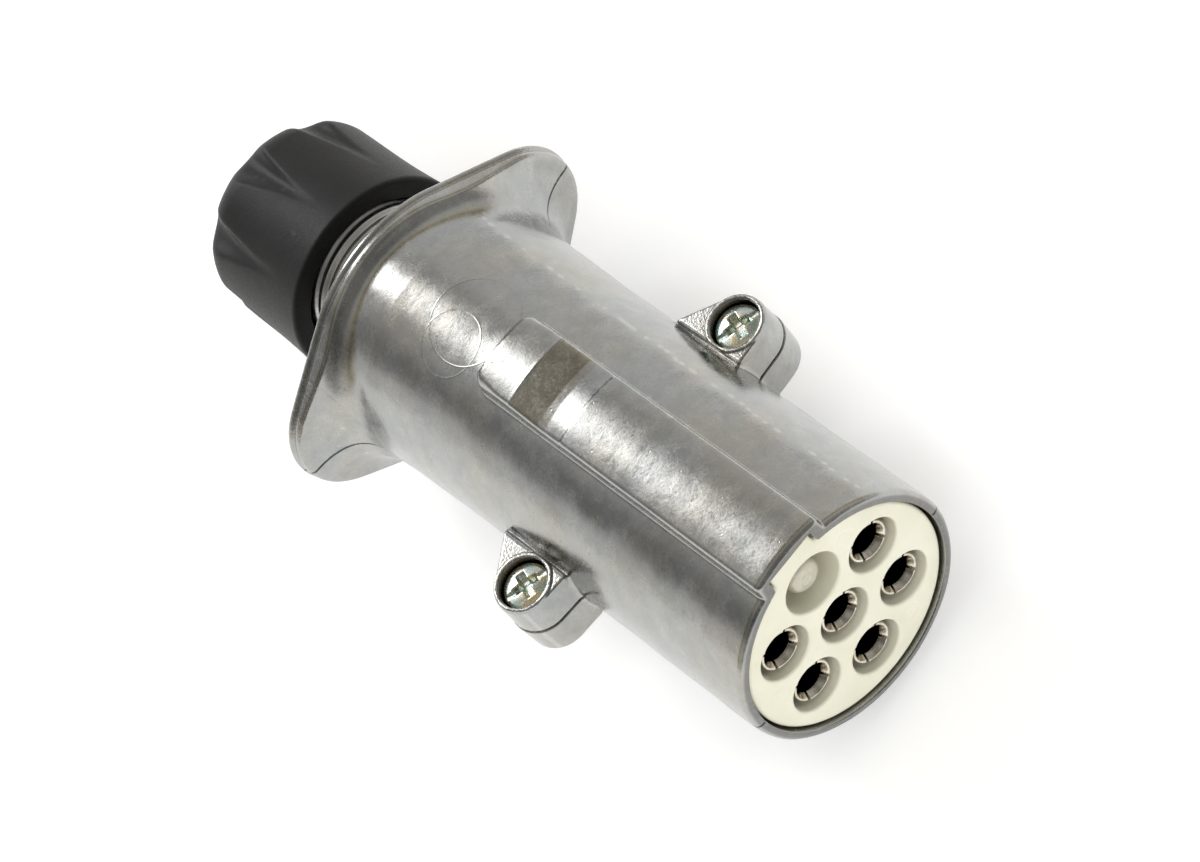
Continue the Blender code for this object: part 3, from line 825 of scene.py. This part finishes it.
def nickel():
    look = Look("nickel_socket", 1.0, 0.13)
    patch = look.noise(1.2, 3.0)
    fine = look.noise((0.5, 0.06, 0.5), 2.0)
    colour = look.ramp(patch, ((0.35, (0.60, 0.54, 0.44)), (0.65, (0.84, 0.80, 0.72))))
    y = look.plug_place()[1]
    # Painted shade: inside each socket's bore, past its mouth, the nickel is painted near black.
    depth = look.map(y, CONTACT_FRONT + 0.75, CONTACT_FRONT + 1.5)
    colour = look.mix(depth, colour, (0.012, 0.010, 0.009))
    rough = look.map(fine, 0.35, 0.65, 0.08, 0.18)
    normal = look.bump(patch, 0.02)
    normal = look.bump(fine, 0.003, 1.0, normal)
    return look.done(colour, rough, normal)


def specked_pin_painted_reflection():
    look = Look("specked_pin_painted_reflection", 0.45, 0.4)
    patch = look.noise(1.1, 3.0)
    specks = look.map(look.spots(0.8), 0.12, 0.04)
    painted_crease_shade = look.edges(0.48, 0.4)
    # Painted reflection: the pin's colour is the cream of the carrier round it, which its nickel would
    # mirror, with dark specks.
    colour = look.ramp(patch, ((0.35, (0.52, 0.50, 0.41)), (0.65, (0.60, 0.58, 0.48))))
    colour = look.mix(look.math("MULTIPLY", specks, 0.3), colour, (0.25, 0.22, 0.17))
    # Painted shade in the pin's creases.
    colour = look.mix(look.math("MULTIPLY", painted_crease_shade, 0.5), colour, (0.20, 0.18, 0.14))
    normal = look.bump(patch, 0.03)
    return look.done(colour, look.map(patch, 0.3, 0.7, 0.3, 0.5), normal)


def zinc_plate():
    look = Look("zinc_plate", 1.0, 0.22)
    broad = look.noise(1.9, 3.0, 0.6, 0.8)
    fine = look.noise(0.3, 3.0)
    colour = look.ramp(
        broad,
        (
            (0.30, (0.36, 0.56, 0.58)),
            (0.42, (0.58, 0.68, 0.65)),
            (0.52, (0.74, 0.74, 0.66)),
            (0.62, (0.72, 0.63, 0.38)),
            (0.74, (0.48, 0.58, 0.66)),
        ),
    )
    rough = look.map(fine, 0.3, 0.7, 0.16, 0.3)
    normal = look.bump(broad, 0.03)
    normal = look.bump(fine, 0.006, 1.0, normal)
    return look.done(colour, rough, normal)


def rubber():
    look = Look("rubber", 0.0, 0.75)
    patch = look.noise(3.0, 3.0)
    grain = look.noise(0.4, 3.0)
    colour = look.ramp(patch, ((0.35, (0.014, 0.014, 0.014)), (0.65, (0.03, 0.029, 0.028))))
    normal = look.bump(grain, 0.03)
    return look.done(colour, look.map(patch, 0.3, 0.7, 0.62, 0.82), normal)


# Stage ------------------------------------------------------------------------------------------


def camera():
    lens = bpy.data.cameras.new("camera")
    lens.lens = CAMERA_LENS
    lens.sensor_width = 36.0
    lens.clip_start = 0.01
    made = bpy.data.objects.new("camera", lens)
    turn = Matrix((CAMERA_RIGHT, CAMERA_UP, CAMERA_BACK)).transposed().to_4x4()
    at = (Vector(CAMERA_AT) + Vector(ORIGIN)) * MM
    made.matrix_world = Matrix.Translation(at) @ turn
    bpy.context.scene.collection.objects.link(made)
    bpy.context.scene.camera = made


def floor():
    mesh = bpy.data.meshes.new("floor")
    half = 6.0
    corners = [(-half, -half, 0), (half, -half, 0), (half, half, 0), (-half, half, 0)]
    mesh.from_pydata(corners, [], [(0, 1, 2, 3)])
    made = bpy.data.objects.new("floor", mesh)
    bpy.context.scene.collection.objects.link(made)
    look = Look("pale_floor", 0.0, 0.9)
    mottle = look.noise(60.0, 2.0)
    colour = look.ramp(mottle, ((0.3, (0.90, 0.905, 0.91)), (0.7, (0.92, 0.925, 0.93))))
    look.shader.inputs["Emission Color"].default_value = (1.0, 1.0, 1.0, 1.0)
    look.shader.inputs["Emission Strength"].default_value = 0.30
    mesh.materials.append(look.done(colour))


def sun(name, towards, strength, angle):
    """A soft light from a direction, which fills diffuse surfaces without showing in reflections."""
    light = bpy.data.lights.new(name, "SUN")
    light.energy = strength
    light.angle = math.radians(angle)
    made = bpy.data.objects.new(name, light)
    made.rotation_euler = Vector(towards).to_track_quat("Z", "Y").to_euler()
    made.visible_glossy = False
    bpy.context.scene.collection.objects.link(made)


# Brightness of the studio round the plug's axis, by angle in degrees from straight up towards +x
STUDIO = (
    (-180, 0.6),
    (-75, 0.62),
    (-68, 0.24),
    (-55, 0.19),
    (-45, 0.26),
    (-36, 0.40),
    (-20, 0.44),
    (14, 0.36),
    (26, 0.37),
    (34, 0.53),
    (60, 0.57),
    (90, 0.60),
    (180, 0.60),
)
# Tint of that brightness by the direction's share along the plug, from the viewer's side to the far side
STUDIO_DEPTH = (
    (-1.0, (0.42, 0.41, 0.38)),
    (-0.35, (0.45, 0.44, 0.42)),
    (-0.1, (0.80, 0.79, 0.76)),
    (0.13, (0.85, 0.82, 0.74)),
    (0.20, (1.0, 0.80, 0.44)),
    (0.29, (0.42, 0.412, 0.39)),
    (0.38, (0.40, 0.39, 0.36)),
    (0.44, (0.78, 0.64, 0.40)),
    (0.50, (0.98, 0.89, 0.70)),
    (0.54, (1.0, 1.0, 1.0)),
    (0.82, (1.0, 1.0, 1.0)),
    (0.90, (0.30, 0.31, 0.33)),
    (1.0, (0.35, 0.35, 0.36)),
)
SOFT_BOX = ((-20, 0.0), (-12, 0.7), (-6, 1.0), (0, 1.0), (5, 0.55), (10, 0.12), (15, 0.0))


def studio():
    world = bpy.data.worlds.new("studio")
    world.use_nodes = True
    bpy.context.scene.world = world
    nodes, links = world.node_tree.nodes, world.node_tree.links
    background = nodes["Background"]
    split = nodes.new("ShaderNodeSeparateXYZ")
    links.new(nodes.new("ShaderNodeTexCoord").outputs["Generated"], split.inputs[0])
    turn = nodes.new("ShaderNodeMath")
    turn.operation = "ARCTAN2"
    links.new(split.outputs["X"], turn.inputs[0])
    links.new(split.outputs["Z"], turn.inputs[1])

    def by_angle(levels):
        spread = nodes.new("ShaderNodeMapRange")
        spread.inputs["From Min"].default_value = -math.pi
        spread.inputs["From Max"].default_value = math.pi
        links.new(turn.outputs[0], spread.inputs["Value"])
        ramp = nodes.new("ShaderNodeValToRGB")
        ramp.color_ramp.interpolation = "EASE"
        elements = ramp.color_ramp.elements
        while len(elements) < len(levels):
            elements.new(0.5)
        for element, (angle, level) in zip(elements, levels):
            element.position = (angle + 180.0) / 360.0
            element.color = (level, level, level, 1.0)
        links.new(spread.outputs["Result"], ramp.inputs["Fac"])
        return ramp.outputs["Color"]

    box_end = nodes.new("ShaderNodeMapRange")
    box_end.interpolation_type = "SMOOTHSTEP"
    links.new(split.outputs["Y"], box_end.inputs["Value"])
    box_end.inputs["From Min"].default_value = 0.602
    box_end.inputs["From Max"].default_value = 0.665
    box_end.inputs["To Max"].default_value = 6.0
    along = nodes.new("ShaderNodeMapRange")
    along.inputs["From Min"].default_value = -1.0
    links.new(split.outputs["Y"], along.inputs["Value"])
    tone = nodes.new("ShaderNodeValToRGB")
    links.new(along.outputs["Result"], tone.inputs["Fac"])
    while len(tone.color_ramp.elements) < len(STUDIO_DEPTH):
        tone.color_ramp.elements.new(0.5)
    for element, (at, colour) in zip(tone.color_ramp.elements, STUDIO_DEPTH):
        element.position = (at + 1.0) / 2.0
        element.color = (*colour, 1.0)

    def mixed(kind, share, a, b):
        made = nodes.new("ShaderNodeMix")
        made.data_type = "RGBA"
        made.blend_type = kind
        for name, value in (("Factor", share), ("A", a), ("B", b)):
            if isinstance(value, bpy.types.NodeSocket):
                links.new(value, made.inputs[name])
            else:
                made.inputs[name].default_value = value
        return made.outputs["Result"]

    sky = mixed("MULTIPLY", 1.0, by_angle(STUDIO), tone.outputs["Color"])
    box = nodes.new("ShaderNodeVectorMath")
    box.operation = "SCALE"
    links.new(by_angle(SOFT_BOX), box.inputs[0])
    links.new(box_end.outputs["Result"], box.inputs["Scale"])
    light = mixed("ADD", 1.0, sky, box.outputs["Vector"])
    path = nodes.new("ShaderNodeLightPath")
    shown = mixed("MIX", path.outputs["Is Camera Ray"], light, (0.70, 0.70, 0.70, 1.0))
    links.new(shown, background.inputs["Color"])
    background.inputs["Strength"].default_value = 1.38
    bpy.context.scene.view_settings.view_transform = "Standard"


# Assembly ---------------------------------------------------------------------------------------


def carried_over(looks):
    """CAD nodes whose shape is kept take their finish from the same materials."""
    finishes = {"thrust_washer": "zinc", "cable_grommet": "rubber"}
    for side in ("right", "left"):
        finishes["lock_washer_" + side] = "zinc"
    for number in range(1, 8):
        finishes[f"terminal_screw_{number}"] = "zinc"
    for name, look in finishes.items():
        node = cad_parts[name]
        for slot in node.material_slots:
            slot.material = looks[look]


def main():
    looks = {
        "cast": cast_metal(),
        "carrier": cream_plastic(),
        "black": black_plastic(),
        "nickel": nickel(),
        "pin": specked_pin_painted_reflection(),
        "zinc": zinc_plate(),
        "rubber": rubber(),
    }
    shells(looks["cast"])
    across = even(-22.5, 22.5, 0.3)
    along = graded((0.2, 2.6, 0.18), (2.6, 12.0, 0.6), (12.0, 34.6, 1.0))
    piece(
        "contact_carrier_moulded",
        carrier,
        (across, along, across),
        looks["carrier"],
        "plug_shell",
        ["contact_carrier"],
    )
    contacts(looks["nickel"], looks["pin"])
    shell_screws(looks["zinc"])
    gland_nut(looks["black"])
    carried_over(looks)
    floor()
    camera()
    studio()
    sun("overhead", (-0.3, 0.0, 0.9), 1.0, 70.0)
    sun("front_fill", (-0.3, -0.85, 0.35), 1.4, 45.0)


main()
